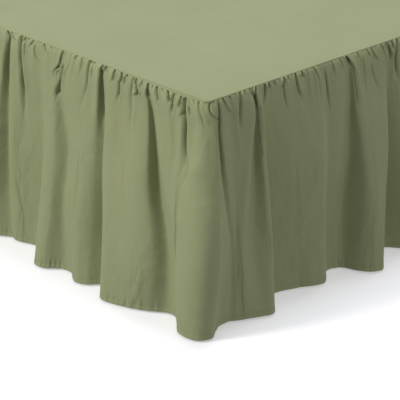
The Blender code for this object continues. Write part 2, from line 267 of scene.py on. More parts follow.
footTurns = [
    Turn(-0.490, -0.490, -0.494, -0.499, -0.516, 0.013, 0.026, 0.036, 0.038),
    Turn(-0.478, -0.481, -0.480, -0.479, -0.474, 0.002, 0.009, 0.0135, 0.0165),
    Turn(-0.463, -0.464, -0.467, -0.468, -0.460, 0.012, 0.018, 0.0205, 0.0195),
    Turn(-0.392, -0.390, -0.386, -0.388, -0.402, 0.009, 0.008, 0.006, 0.012),
    Turn(-0.378, -0.374, -0.364, -0.360, -0.364, 0.013, 0.029, 0.043, 0.059),
    Turn(-0.354, -0.352, -0.337, -0.331, -0.342, 0.013, 0.031, 0.046, 0.062),
    Turn(-0.342, -0.343, -0.318, -0.313, -0.311, 0.008, 0.014, 0.031, 0.0390),
    Turn(-0.330, -0.331, -0.298, -0.292, -0.288, 0.012, 0.024, 0.037, 0.0395),
    Turn(-0.262, -0.260, -0.266, -0.264, -0.259, 0.013, 0.029, 0.043, 0.059),
    Turn(-0.247, -0.243, -0.246, -0.243, -0.238, 0.012, 0.023, 0.033, 0.052),
    Turn(-0.241, -0.2375, -0.2285, -0.2195, -0.2140, 0.002, 0.009, 0.0085, 0.0295),
    Turn(-0.230, -0.222, -0.211, -0.192, -0.185, 0.013, 0.034, 0.053, 0.068),
    Turn(-0.198, -0.196, -0.178, -0.165, -0.160, 0.013, 0.038, 0.057, 0.071),
    Turn(-0.140, -0.1245, -0.103, -0.080, -0.094, 0.011, 0.036, 0.050, 0.0455),
    Turn(-0.133, -0.123, -0.096, -0.061, -0.064, 0.002, 0.014, 0.028, 0.0270),
]
cornerTurns = [
    Turn(-0.124, -0.105, -0.066, -0.035, -0.0449, 0.013, 0.033, 0.042, 0.0292),
    Turn(-0.070, -0.056, -0.036, -0.020, -0.0183, 0.012, 0.040, 0.053, 0.0477),
    Turn(-0.018, -0.017, -0.016, -0.0145, -0.0107, 0.012, 0.043, 0.0560, 0.0660),
    Turn(-0.008, -0.006, -0.0026, -0.0018, -0.0034, 0.016, 0.0585, 0.0787, 0.0778),
    Turn(0.001, 0.001, 0.0037, 0.0026, 0.0005, 0.0155, 0.0525, 0.0720, 0.0718),
    Turn(0.0125, 0.0095, 0.0072, 0.0068, 0.0041, 0.0155, 0.0420, 0.0520, 0.0431),
    Turn(0.0160, 0.0114, 0.0100, 0.0119, 0.0093, 0.006, 0.033, 0.0370, 0.0268),
    Turn(0.0180, 0.0128, 0.0138, 0.0203, 0.0215, 0.002, 0.021, 0.0295, 0.0255),
]
sideTurns = [
    Turn(0.0210, 0.0152, 0.0225, 0.0270, 0.0340, 0.014, 0.0245, 0.0320, 0.0330),
    Turn(0.040, 0.042, 0.038, 0.0320, 0.0420, 0.010, 0.0225, 0.0350, 0.0370),
    Turn(0.0865, 0.0875, 0.058, 0.0385, 0.0500, 0.0145, 0.028, 0.0390, 0.0410),
    Turn(0.0925, 0.0935, 0.087, 0.070, 0.0735, 0.001, 0.014, 0.031, 0.051),
    Turn(0.0975, 0.0985, 0.097, 0.092, 0.0885, 0.0135, 0.030, 0.045, 0.0565),
    Turn(0.105, 0.1065, 0.1065, 0.102, 0.1005, 0.0125, 0.029, 0.044, 0.053),
    Turn(0.116, 0.118, 0.1205, 0.122, 0.129, 0.006, 0.005, 0.002, 0.006),
    Turn(0.165, 0.160, 0.170, 0.180, 0.192, 0.012, 0.018, 0.017, 0.0155),
    Turn(0.236, 0.238, 0.2325, 0.233, 0.236, 0.012, 0.032, 0.035, 0.0345),
    Turn(0.250, 0.255, 0.256, 0.262, 0.278, 0.010, 0.018, 0.009, 0.002),
    Turn(0.296, 0.288, 0.280, 0.284, 0.292, 0.013, 0.021, 0.009, 0.005),
    Turn(0.315, 0.318, 0.317, 0.308, 0.3035, 0.002, 0.008, 0.006, 0.012),
    Turn(0.320, 0.3225, 0.328, 0.327, 0.315, 0.013, 0.033, 0.045, 0.040),
    Turn(0.350, 0.352, 0.350, 0.343, 0.329, 0.013, 0.039, 0.054, 0.060),
    Turn(0.392, 0.398, 0.383, 0.367, 0.347, 0.012, 0.038, 0.051, 0.067),
    Turn(0.414, 0.412, 0.404, 0.401, 0.408, 0.005, 0.005, 0.002, 0.002),
    Turn(0.430, 0.430, 0.434, 0.440, 0.450, 0.012, 0.029, 0.042, 0.046),
]

folds = {
    "drop": fullDrop,
    "levels": (0.0, 0.045, 0.152, 0.242, fullDrop),     # the five heights, as depths below the seam
    "seamShare": 0.80,      # how far a fold stands out at the seam, of what it does a little lower
    "opening": 0.0150,      # how soon the folds open below the seam
    "seed": 11,             # for the folds that follow a rule
    "pitch": (0.068, 0.106),
    "crests": ((0.011, 0.015), (0.024, 0.033), (0.036, 0.050), (0.050, 0.074)),
    "valleys": ((0.003, 0.005), (0.006, 0.013), (0.008, 0.020), (0.007, 0.034)),
    "drift": 0.012,
    "crestAt": (0.22, 0.34),    # where a crest and a valley come, as shares of the pitch
    "valleyAt": (0.72, 0.86),
    "headOuts": (0.006, 0.012, 0.018, 0.024),   # how far the cloth stands out at the open head end
    "pastHead": 0.002,
    "roomLeft": (0.015, 0.030),     # bare stretches before and after the folds that follow a rule
    "roomFoot": (0.012, 0.028),
    "roomRight": (0.022, 0.015),
}


def mirrored(turn):
    return Turn(*(2 * midFoot - place for place in turn[:5]), *turn[5:])


def plainFolds(start, end, rng):
    count = max(1, round((end - start) / sum(folds["pitch"]) * 2))
    widths = [rng.uniform(*folds["pitch"]) for _ in range(count)]
    stretch = (end - start) / sum(widths)
    turns, place = [], start
    for width in widths:
        pitch = width * stretch
        lean = rng.uniform(-folds["drift"], folds["drift"])
        crest = place + pitch * rng.uniform(*folds["crestAt"])
        valley = place + pitch * rng.uniform(*folds["valleyAt"])
        kinds = ((crest, folds["crests"], 0.4), (valley, folds["valleys"], 0.7))
        for middle, outs, spread in kinds:
            sizes = [rng.uniform(*limits) for limits in outs]
            shifts = (0.0, lean * spread / 2, lean * spread, lean * (1 + spread) / 2, lean)
            turns.append(Turn(*(middle + shift for shift in shifts), *sizes))
        place += pitch
    return turns


def allTurns():
    rng = random.Random(folds["seed"])
    farCorner = [mirrored(turn) for turn in reversed(cornerTurns)]
    start = 2 * midFoot - endOfSide
    headLeft = [Turn(*[start - folds["pastHead"]] * 5, *folds["headOuts"])]
    headRight = [Turn(*[endOfSide + folds["pastHead"]] * 5, *folds["headOuts"])]

    def between(low, high, room):
        return plainFolds(low + room[0], high - room[1], rng)

    left = between(start, farCorner[0].seam, folds["roomLeft"])
    foot = between(farCorner[-1].seam, footTurns[0].seam, folds["roomFoot"])
    right = between(sideTurns[-1].seam, endOfSide, folds["roomRight"])
    seen = [*footTurns, *cornerTurns, *sideTurns]
    return [*headLeft, *left, *farCorner, *foot, *seen, *right, *headRight]


turns = allTurns()
rightJoin = turns.index(cornerTurns[-1])
leftJoin = turns.index(mirrored(cornerTurns[-1]))


def smoothBetween(places, values, place):
    # a cubic through uneven places, slopes from the neighbours; values may be arrays
    slopes = []
    for i in range(len(places)):
        low, high = max(i - 1, 0), min(i + 1, len(places) - 1)
        slopes.append((values[high] - values[low]) / (places[high] - places[low]))
    i = 0
    while i < len(places) - 2 and place > places[i + 1]:
        i += 1
    span = places[i + 1] - places[i]
    t = (place - places[i]) / span
    start = (1 + 2 * t) * (1 - t) ** 2 * values[i] + t * (1 - t) ** 2 * span * slopes[i]
    end = t * t * (3 - 2 * t) * values[i + 1] + t * t * (t - 1) * span * slopes[i + 1]
    return start + end


def clothAt(ts, depth):
    # where the cloth is along the edge and how far out, for an array of places t at one depth
    table = np.array(turns)
    fall = max(0.0, depth)
    outs = [table[:, 5] * folds["seamShare"], *(table[:, k] for k in range(5, 9))]
    us = smoothBetween(folds["levels"], [table[:, k] for k in range(5)], fall)
    ns = smoothBetween(folds["levels"], outs, fall)
    line = np.stack([us, ns])
    i = np.clip(np.floor(ts).astype(int), 0, len(turns) - 2)
    s = ts - i
    four = [line[:, np.clip(i + k, 0, len(turns) - 1)] for k in (-1, 0, 1, 2)]
    gaps = [np.maximum(np.hypot(*(q - p)), 1e-6) ** 0.5 for p, q in zip(four, four[1:])]
    rises = [(q - p) / span for p, q, span in zip(four, four[1:], gaps)]
    slopeIn = (rises[0] * gaps[1] + rises[1] * gaps[0]) / (gaps[0] + gaps[1]) * gaps[1]
    slopeOut = (rises[1] * gaps[2] + rises[2] * gaps[1]) / (gaps[1] + gaps[2]) * gaps[1]
    near = (1 + 2 * s) * (1 - s) ** 2 * four[1] + s * (1 - s) ** 2 * slopeIn
    return near + s**2 * (3 - 2 * s) * four[2] + s**2 * (s - 1) * slopeOut


def edgePoint(u, out):
    # arrays of places along the edge and distances out from it, to X and Y
    far = u < midFoot
    u = np.where(far, 2 * midFoot - u, u)
    r = bed["corner"]
    angle = (np.clip(u / r, -1, 1) - 1) * math.pi / 4
    x = bed["width"] / 2 - r + (r + out) * np.cos(angle) + np.minimum(u + r, 0)
    y = footY + r + (r + out) * np.sin(angle) + np.maximum(u - r, 0)
    return np.where(far, -x, x), y


# from the seam at "top", through "middle", to "bottom" on the edge, down to "reach" below the seam
Crease = namedtuple("Crease", "top middle bottom start reach width depth")

footCreases = [
    Crease(-0.4842, -0.4844, -0.4774, -0.0114, -0.0012, 0.0017, 0.0080),
    Crease(-0.4767, -0.4819, -0.4811, 0.0029, 0.0936, 0.0027, 0.0046),
    Crease(-0.4743, -0.4701, -0.4584, -0.0103, 0.0024, 0.0015, 0.0073),
    Crease(-0.4469, -0.4377, -0.4327, -0.0051, 0.1077, 0.0029, 0.0080),
    Crease(-0.4343, -0.4368, -0.4389, -0.0103, 0.0007, 0.0015, 0.0058),
    Crease(-0.4338, -0.4318, -0.4302, 0.0016, 0.0251, 0.0015, 0.0020),
    Crease(-0.4272, -0.4285, -0.4291, -0.0114, -0.0050, 0.0015, 0.0029),
    Crease(-0.4142, -0.4176, -0.4227, -0.0114, 0.0045, 0.0015, 0.0046),
    Crease(-0.4095, -0.4057, -0.3869, 0.0030, 0.0311, 0.0019, 0.0029),
    Crease(-0.3862, -0.3877, -0.3810, -0.0114, 0.0007, 0.0016, 0.0073),
    Crease(-0.3835, -0.3758, -0.3671, 0.0000, 0.0056, 0.0015, 0.0023),
    Crease(-0.3711, -0.3713, -0.3691, -0.0124, -0.0036, 0.0014, 0.0038),
    Crease(-0.3423, -0.3526, -0.3647, 0.0149, 0.0402, 0.0020, 0.0032),
    Crease(-0.3402, -0.3405, -0.3458, -0.0114, 0.0216, 0.0019, 0.0075),
    Crease(-0.3383, -0.3509, -0.3613, 0.0213, 0.0459, 0.0019, 0.0026),
    Crease(-0.3334, -0.3381, -0.3452, 0.0208, 0.0683, 0.0027, 0.0115),
    Crease(-0.3195, -0.3186, -0.3227, -0.0082, 0.0248, 0.0019, 0.0017),
    Crease(-0.3089, -0.3074, -0.3092, -0.0028, 0.0285, 0.0015, 0.0015),
    Crease(-0.3031, -0.3072, -0.3085, -0.0124, -0.0019, 0.0014, 0.0058),
    Crease(-0.2942, -0.2905, -0.2897, -0.0114, 0.0168, 0.0015, 0.0025),
    Crease(-0.2762, -0.2751, -0.2699, -0.0114, -0.0051, 0.0014, 0.0058),
    Crease(-0.2732, -0.2722, -0.2781, -0.0036, 0.0598, 0.0024, 0.0041),
    Crease(-0.2643, -0.2619, -0.2609, -0.0011, 0.0189, 0.0015, 0.0016),
    Crease(-0.2641, -0.2666, -0.2666, -0.0124, -0.0019, 0.0013, 0.0052),
    Crease(-0.2591, -0.2614, -0.2616, -0.0124, -0.0043, 0.0013, 0.0038),
    Crease(-0.2425, -0.2393, -0.2382, 0.0008, 0.0830, 0.0027, 0.0069),
    Crease(-0.2381, -0.2412, -0.2436, -0.0115, 0.0018, 0.0017, 0.0094),
    Crease(-0.2300, -0.2325, -0.2359, -0.0115, 0.0028, 0.0014, 0.0067),
    Crease(-0.2140, -0.2111, -0.2123, -0.0095, 0.0101, 0.0015, 0.0073),
    Crease(-0.1981, -0.1927, -0.1961, -0.0074, 0.0086, 0.0016, 0.0087),
    Crease(-0.1972, -0.1951, -0.1994, 0.0077, 0.0406, 0.0022, 0.0041),
    Crease(-0.1858, -0.1841, -0.1802, -0.0096, -0.0026, 0.0015, 0.0043),
    Crease(-0.1852, -0.1854, -0.1848, -0.0026, 0.0094, 0.0014, 0.0023),
    Crease(-0.1675, -0.1650, -0.1571, -0.0010, 0.0735, 0.0036, 0.0037),
    Crease(-0.1588, -0.1595, -0.1553, -0.0076, 0.0057, 0.0017, 0.0116),
    Crease(-0.1551, -0.1497, -0.1562, 0.0066, 0.0205, 0.0017, 0.0102),
    Crease(-0.1478, -0.1470, -0.1470, -0.0066, 0.0041, 0.0014, 0.0026),
    Crease(-0.1329, -0.1321, -0.1311, -0.0046, 0.0152, 0.0017, 0.0073),
    Crease(-0.1235, -0.1225, -0.1216, -0.0078, 0.0025, 0.0013, 0.0023),
    Crease(-0.1146, -0.1090, -0.1037, -0.0067, 0.0118, 0.0017, 0.0116),
    Crease(-0.1039, -0.1052, -0.1058, 0.0109, 0.0232, 0.0014, 0.0020),
    Crease(-0.1016, -0.0996, -0.0970, -0.0057, 0.0008, 0.0013, 0.0023),
    Crease(-0.0896, -0.0825, -0.0792, -0.0047, 0.0097, 0.0016, 0.0102),
    Crease(-0.0744, -0.0728, -0.0723, -0.0058, 0.0251, 0.0015, 0.0053),
    Crease(-0.0575, -0.0561, -0.0581, -0.0048, 0.0146, 0.0015, 0.0094),
    Crease(-0.0475, -0.0442, -0.0381, -0.0014, 0.0490, 0.0032, 0.0086),
    Crease(-0.0453, -0.0501, -0.0529, 0.0157, 0.0315, 0.0019, 0.0035),
    Crease(-0.0390, -0.0261, 0.0007, 0.0489, 0.1261, 0.0037, 0.0080),
    Crease(-0.0342, -0.0326, -0.0304, 0.0082, 0.0198, 0.0015, 0.0038),
    Crease(-0.0307, -0.0289, -0.0246, -0.0047, 0.0011, 0.0014, 0.0023),
    Crease(-0.0197, -0.0109, -0.0040, -0.0057, 0.0297, 0.0022, 0.0057),
]
sideCreases = [
    Crease(0.0033, 0.0023, 0.0130, -0.0073, 0.0219, 0.0013, 0.0035),
    Crease(0.0293, 0.0319, 0.0404, -0.0074, 0.0182, 0.0017, 0.0049),
    Crease(0.0444, 0.0447, 0.0445, -0.0093, -0.0015, 0.0014, 0.0029),
    Crease(0.0664, 0.0597, 0.0576, -0.0059, 0.0491, 0.0024, 0.0046),
    Crease(0.0785, 0.0765, 0.0747, -0.0082, -0.0005, 0.0014, 0.0032),
    Crease(0.0885, 0.0885, 0.0884, -0.0082, -0.0005, 0.0014, 0.0026),
    Crease(0.0987, 0.0993, 0.0974, 0.0237, 0.0913, 0.0029, 0.0080),
    Crease(0.1044, 0.0955, 0.0962, -0.0093, 0.0226, 0.0015, 0.0103),
    Crease(0.1231, 0.1194, 0.1125, -0.0124, 0.0240, 0.0019, 0.0075),
    Crease(0.1314, 0.1316, 0.1320, -0.0073, 0.0019, 0.0014, 0.0038),
    Crease(0.1455, 0.1442, 0.1443, -0.0082, 0.0014, 0.0014, 0.0029),
    Crease(0.1606, 0.1612, 0.1644, 0.0054, 0.0450, 0.0020, 0.0028),
    Crease(0.1654, 0.1642, 0.1596, -0.0093, 0.0054, 0.0017, 0.0123),
    Crease(0.1765, 0.1749, 0.1745, -0.0082, -0.0001, 0.0014, 0.0026),
    Crease(0.1935, 0.1900, 0.1971, -0.0082, 0.0308, 0.0019, 0.0075),
    Crease(0.2084, 0.2068, 0.2072, -0.0093, 0.0007, 0.0015, 0.0087),
    Crease(0.2172, 0.2157, 0.2151, -0.0026, 0.0409, 0.0019, 0.0016),
    Crease(0.2349, 0.2418, 0.2408, -0.0042, 0.0453, 0.0024, 0.0025),
    Crease(0.2587, 0.2612, 0.2630, 0.0084, 0.0680, 0.0017, 0.0034),
    Crease(0.2769, 0.2778, 0.2784, -0.0066, 0.0170, 0.0015, 0.0026),
    Crease(0.2969, 0.2988, 0.3023, -0.0066, 0.0108, 0.0015, 0.0041),
    Crease(0.3125, 0.3191, 0.3229, -0.0082, 0.0203, 0.0019, 0.0086),
    Crease(0.3224, 0.3250, 0.3255, 0.0217, 0.0808, 0.0039, 0.0063),
    Crease(0.3413, 0.3390, 0.3383, -0.0074, 0.0022, 0.0014, 0.0032),
    Crease(0.3489, 0.3483, 0.3476, 0.0059, 0.0539, 0.0017, 0.0021),
    Crease(0.3639, 0.3647, 0.3658, -0.0066, 0.0059, 0.0014, 0.0032),
    Crease(0.3685, 0.3722, 0.3805, 0.0221, 0.0647, 0.0025, 0.0028),
    Crease(0.3741, 0.3774, 0.3839, -0.0051, 0.0143, 0.0015, 0.0046),
    Crease(0.3973, 0.4050, 0.4079, -0.0073, 0.0298, 0.0017, 0.0046),
    Crease(0.4123, 0.4189, 0.4185, -0.0063, 0.0196, 0.0017, 0.0064),
    Crease(0.4273, 0.4264, 0.4253, -0.0073, 0.0048, 0.0014, 0.0029),
    Crease(0.4378, 0.4288, 0.4326, -0.0043, 0.0585, 0.0022, 0.0057),
]

gathers = {
    "seed": 23,
    "pitch": (0.007, 0.017),
    "reach": (0.010, 0.075),
    "lean": 0.008,
    "width": (0.0018, 0.0034),
    "depth": (0.0012, 0.0038),
    "ridge": 0.26,          # how high the cloth stands beside a crease, of the crease's depth
    "ridgeAt": 2.1,         # where those ridges stand, in widths of the crease
    "sharp": 1.5,           # lower is sharper at the bottom of a crease
    "widen": 0.5,           # how much wider a crease is at its far end
    "runUp": 0.2,           # how far a crease shows above its first point, of its length
    "runOut": 1.3,          # where it has died away, of its length
    "pinch": 0.55,          # how far it draws the cloth together along the edge,
    "pinchReach": 1.8,      # and within how many widths
    "seenFrom": -0.505,
    "seenTo": 0.450,
}


def plainCreases(start, end, rng):
    made, place = [], start
    while place < end:
        reach = rng.uniform(*gathers["reach"]) * (0.35 if rng.random() < 0.55 else 1.0)
        lean = rng.uniform(-gathers["lean"], gathers["lean"]) * reach / 0.05
        width = rng.uniform(*gathers["width"]) + 0.010 * reach
        depth = rng.uniform(*gathers["depth"])
        made.append(Crease(place, place + lean * 0.4, place + lean, -0.003, reach, width, depth))
        place += rng.uniform(*gathers["pitch"])
    return made


def allCreases():
    rng = random.Random(gathers["seed"])
    start = 2 * midFoot - endOfSide
    far = plainCreases(start, gathers["seenFrom"], rng)
    near = plainCreases(gathers["seenTo"], endOfSide, rng)
    return [*far, *footCreases, *sideCreases, *near]


creases = allCreases()


def creaseShape(us, depths, tops):
    # how far the creases draw the cloth in, and how far they pinch it together along the edge
    total, pinch = np.zeros_like(us), np.zeros_like(us)
    for c in creases:
        near = np.where(np.abs(us[:, 0] - c.middle) < 0.05)[0]
        if not len(near):
            continue
        u, depth, top = us[near], depths[near], tops[near][:, None]
        s = np.clip((depth - c.start) / (c.reach - c.start), -gathers["runUp"], gathers["runOut"])
        line = (1 - s) * (1 - 2 * s) * c.top + 4 * s * (1 - s) * c.middle
        line += s * (2 * s - 1) * c.bottom
        rise = np.clip((s + gathers["runUp"]) / 0.25, 0, 1)
        rise = np.where(c.start < top + 0.005, 1.0, rise * rise * (3 - 2 * rise))
        fall = np.clip((gathers["runOut"] - s) / 0.75, 0, 1)
        fade = rise * fall * fall * (3 - 2 * fall)
        away = u - line
        x = away / (c.width * (1 + gathers["widen"] * np.clip(s, 0, 1)))
        ridges = gathers["ridge"] * np.exp(-((np.abs(x) - gathers["ridgeAt"]) ** 2))
        total[near] += c.depth * fade * (np.exp(-np.abs(x) ** gathers["sharp"]) - ridges)
        drawn = away * np.exp(-((x / gathers["pinchReach"]) ** 2))
        pinch[near] -= gathers["pinch"] * fade * drawn
    return total, pinch


skirt = {
    "thick": 0.0010,
    "seenStep": 0.00092,
    "hiddenStep": 0.0068,
    "gap": 0.00001,         # taken off each end of a panel, so that two panels do not meet
    "hemWidth": 0.008,
    "turnings": 0.03,       # cloth in the hem and the seam
    "hemThicker": 0.0003,
    "hemStep": 0.0012,      # the height over which it gets thicker
    "groove": (0.0003, 0.0009),     # how deep and wide the stitches press in
    "pucker": 0.0010,       # how deep the hem puckers along its stitches
    "puckerPitch": 0.0042,
    "puckerPatches": 0.055,     # the puckers are deeper in some stretches of the hem than in others
    "puckerReach": (0.0075, 0.0120),    # above the stitches and below them
    "ripple": 0.0009,       # how deep the small ripples are
    # share of that, length along the seam, and the depth over which they fade or grow
    "fine": (0.8, 0.0042, 0.012),
    "soft": (1.7, 0.016, 0.09),
    "long": (1.7, 0.030, 0.12),
    "levelEnds": 0.008,     # ripples and puckers die away within this of a panel's end
    "spare": 3,             # columns past each end, so that both sides of a join lie in one surface
}


def rowDepths():
    # below the seam: close together at the gathers and the hem, wide apart between
    near = np.arange(0.0, 0.030, 0.0022)
    upper = np.arange(0.0310, 0.076, 0.0062)
    middle = np.linspace(0.0830, folds["drop"] - 0.030, 14)
    fromHem = [0.0165, 0.0125, 0.0098, 0.0086, skirt["hemWidth"], 0.0074, 0.0042, 0.0011, 0.0]
    return np.concatenate([near, upper, middle, folds["drop"] - np.array(fromHem)])


rim = {
    "corner": 0.0075,       # radius of the deck panel's corners
    "bend": 0.0011,         # radius of its turned-down edge
    "out": 0.0012,          # how far its outer face stands off the base there
    "flare": 0.30,          # how fast it stands out further, going down
    "flareFades": 0.03,     # the skirt follows that flare, less and less over this depth
    "drawnIn": 0.0022,      # how far the skirt's top is drawn in under the edge,
    "drawnDepth": 0.0015,   # and over what depth
    "groove": 0.0004,       # the slight hollow inside the edge, where the seam pulls
    "lips": ((-0.25, 0.0013), (-0.20, 0.0027), (-0.13, 0.0044), (-0.06, 0.0058), (-0.02, 0.0046),
             (0.012, 0.0015)),
    "tuck": 0.0006,         # how far the skirt goes up under it
    "tuckRows": 5,
}


def lipAt(us):
    # how far down the deck panel reaches before the skirt's seam, at places along the edge
    us = np.where(us < midFoot, 2 * midFoot - us, us)
    return np.interp(us, *zip(*rim["lips"]))


def columnPlaces(start, end):
    # values of t from start to end, close together where the cloth is seen near
    fine = np.linspace(start, end, int((end - start) * 160) + 2)
    length = np.zeros(len(fine) - 1)
    for depth, share in ((0.03, 0.3), (0.152, 0.35), (folds["drop"], 0.35)):
        us, ns = clothAt(fine, depth)
        x, y = edgePoint(us, ns)
        length += share * np.hypot(np.diff(x), np.diff(y))
    us, _ = clothAt((fine[1:] + fine[:-1]) / 2, 0.152)
    seen = 1 / (1 + np.exp(-np.clip((us - gathers["seenFrom"]) / 0.008, -30, 30)))
    seen *= 1 / (1 + np.exp(np.clip((us - gathers["seenTo"] - 0.01) / 0.008, -30, 30)))
    step = skirt["hiddenStep"] + (skirt["seenStep"] - skirt["hiddenStep"]) * seen
    count = np.concatenate([[0], np.cumsum(length / step)])
    return np.interp(np.linspace(0, count[-1], int(count[-1]) + 1), count, fine)


def gridNormals(points):
    down = np.gradient(points, axis=1)
    across = np.gradient(points, axis=0)
    normal = np.cross(down, across)
    return normal / np.maximum(np.linalg.norm(normal, axis=2, keepdims=True), 1e-9)


def smoothNoise(rng, us, scale):
    # one smooth random wave along the edge
    knots = np.arange(us.min() - 2 * scale, us.max() + 3 * scale, scale)
    values = rng.uniform(-1, 1, len(knots))
    i = np.clip(((us - knots[0]) / scale).astype(int), 1, len(knots) - 3)
    s = (us - knots[0]) / scale - i
    s = s * s * (3 - 2 * s)
    return values[i] * (1 - s) + values[i + 1] * s


def skirtPoints(ts):
    # the cloth's outer face, a grid of columns by rows from under the deck's edge to the hem
    below = rowDepths()
    seam = clothAt(ts, 0.0)[0]
    lips = lipAt(seam)
    tops = lips - bed["lip"]
    raised = np.array([-rim["tuck"], -rim["tuck"] * 0.45, 0.0, 0.001])
    depths = np.tile(below, (len(ts), 1))
    high = np.stack([tops + step for step in raised], 1)
    rest = high[:, -1:] * (1 - np.arange(1, rim["tuckRows"]) / rim["tuckRows"])
    depths = np.hstack([high, rest, depths])
    us, outs = np.zeros_like(depths), np.zeros_like(depths)
    for row in range(depths.shape[1]):
        us[:, row], outs[:, row] = clothAt(ts, max(0.0, depths[:, row].mean()))
    fallen = np.maximum(depths - tops[:, None], 0)
    outs *= 1 - np.exp(-fallen / folds["opening"])
    outs += rim["out"] + rim["flare"] * lips[:, None] * np.exp(-fallen / rim["flareFades"])
    under = np.maximum(depths - tops[:, None] + rim["tuck"], 0)
    outs -= rim["drawnIn"] * np.exp(-under / rim["drawnDepth"])
    inward, pinch = creaseShape(us, depths, tops)
    shown = np.clip((depths - tops[:, None] + 0.0008) / 0.0022, 0, 1)
    x, y = edgePoint(us + pinch * shown, outs)
    points = np.stack([x, y, seamZ - depths], 2)
    return points, seam, depths, inward * shown, shown


def lengthAlong(line):
    # how far each point of a line is from its start, measured along it
    return np.concatenate([[0], np.cumsum(np.linalg.norm(np.diff(line, axis=0), axis=1))])


def sheetObject(name, points, metres, material, thickness, turnedOver=False):
    # a sheet of cloth on a grid of points, with its own metres as its UV map
    count, rows = points.shape[:2]
    index = np.arange(count * rows).reshape(count, rows)
    corners = [index[:-1, :-1], index[:-1, 1:], index[1:, 1:], index[1:, :-1]]
    if turnedOver:
        corners = [corners[0], *corners[:0:-1]]
    quads = np.stack(corners, -1).reshape(-1, 4)
    mesh = bpy.data.meshes.new(name)
    mesh.from_pydata(points.reshape(-1, 3).tolist(), [], quads.tolist())
    mesh.shade_smooth()
    layer = mesh.uv_layers.new(name="clothMetres")
    uv = metres.reshape(-1, 2)[quads.reshape(-1)]
    layer.data.foreach_set("uv", uv.astype(np.float32).reshape(-1))
    made = bpy.data.objects.new(name, mesh)
    bpy.context.scene.collection.objects.link(made)
    mesh.materials.append(material)

    # it gets its thickness for good, and its cut edges stay crisp
    shell = made.modifiers.new("thickness", "SOLIDIFY")
    shell.thickness = thickness
    shell.offset = -1.0
    graph = bpy.context.evaluated_depsgraph_get()
    solid = bpy.data.meshes.new_from_object(made.evaluated_get(graph))
    made.modifiers.clear()
    made.data = solid
    bpy.data.meshes.remove(mesh)
    solid.name = made.name
    solid.set_sharp_from_angle(angle=math.radians(55))
    return made


def skirtPanel(name, start, end, node, seed):
    ts = columnPlaces(start, end)
    spare = skirt["spare"]
    before = start - (ts[1] - ts[0]) * np.arange(spare, 0, -1)
    after = end + (ts[-1] - ts[-2]) * np.arange(1, spare + 1)
    points, seam, depths, inward, shown = skirtPoints(np.concatenate([before, ts, after]))
    normals = gridNormals(points)
    rng = np.random.default_rng(seed)

    # small ripples: fine ones at the seam, soft ones in the upper part of the drop, long ones lower
    share, length, reach = skirt["fine"]
    fine = share * smoothNoise(rng, seam, length)[:, None]
    fine = fine * np.exp(-(((depths + 0.002) / reach) ** 2))
    share, length, reach = skirt["soft"]
    soft = share * smoothNoise(rng, seam, length)[:, None] * np.exp(-np.maximum(depths, 0) / reach)
    soft *= np.clip((depths + 0.004) / 0.02, 0, 1)
    share, length, reach = skirt["long"]
    long = share * smoothNoise(rng, seam, length)[:, None] * np.clip((depths - 0.03) / reach, 0, 1)
    # they die away towards the panel's ends, so that two panels meet level
    ends = np.minimum(np.abs(seam - seam[spare]), np.abs(seam - seam[-spare - 1]))
    ends = np.clip(ends / skirt["levelEnds"], 0, 1)[:, None]
    ripple = skirt["ripple"] * (fine + soft + long) * shown * ends

    # the hem: turned up and stitched, so it is thicker and puckered along the stitches
    fromHem = folds["drop"] - depths
    band = np.clip((skirt["hemWidth"] - fromHem) / skirt["hemStep"] + 0.5, 0, 1)
    fromStitch = fromHem - skirt["hemWidth"]
    along = lengthAlong(points[:, -1])
    pucker = smoothNoise(rng, along, skirt["puckerPitch"]) - 0.3
    pucker *= np.clip(0.45 + 1.1 * smoothNoise(rng, along, skirt["puckerPatches"]), 0.12, 1)
    puckerReach = np.where(fromStitch > 0, *skirt["puckerReach"])
    pucker = pucker[:, None] * ends * np.exp(-((fromStitch / puckerReach) ** 2))
    deep, wide = skirt["groove"]
    groove = deep * np.exp(-((fromStitch / wide) ** 2))
    hem = skirt["hemThicker"] * band + skirt["pucker"] * pucker - groove

    points = (points + normals * (ripple + hem - inward)[:, :, None])[spare:-spare]
    for edge, inner in ((0, 1), (-1, -2)):
        way = points[inner] - points[edge]
        points[edge] += way * (skirt["gap"] / np.linalg.norm(way, axis=1))[:, None]

    # the cloth's own metres: along the panel and down it
    count, rows = points.shape[:2]
    across = lengthAlong(points[:, rows // 2])
    steps = np.linalg.norm(np.diff(points, axis=1), axis=2).mean(axis=0)
    down = np.concatenate([[0], np.cumsum(steps)])
    metres = np.stack(np.meshgrid(across, down, indexing="ij"), -1)
    made = sheetObject(name, points, metres, cloth, skirt["thick"])
    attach(made, "root")
    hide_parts(node)

    hemLength = float(lengthAlong(points[:, -1])[-1])
    fall = float(down[-1])
    stitchRow = int(np.argmin(np.abs(fromStitch[0])))
    stitchLine = points[:, stitchRow] + gridNormals(points)[:, stitchRow] * stitch["proud"]
    hemStitches(name.replace("gatheredPanel", "hemStitches"), stitchLine)
    print(name, count, "columns", rows, "rows", "hem", round(hemLength, 3), "down", round(fall, 3))
    return made, hemLength, fall


stitch = {
    "pitch": 0.0034,
    "length": 0.0026,
    "thread": 0.0005,       # the thread's diameter
    "proud": 0.00012,       # how far its middle stands off the cloth
}


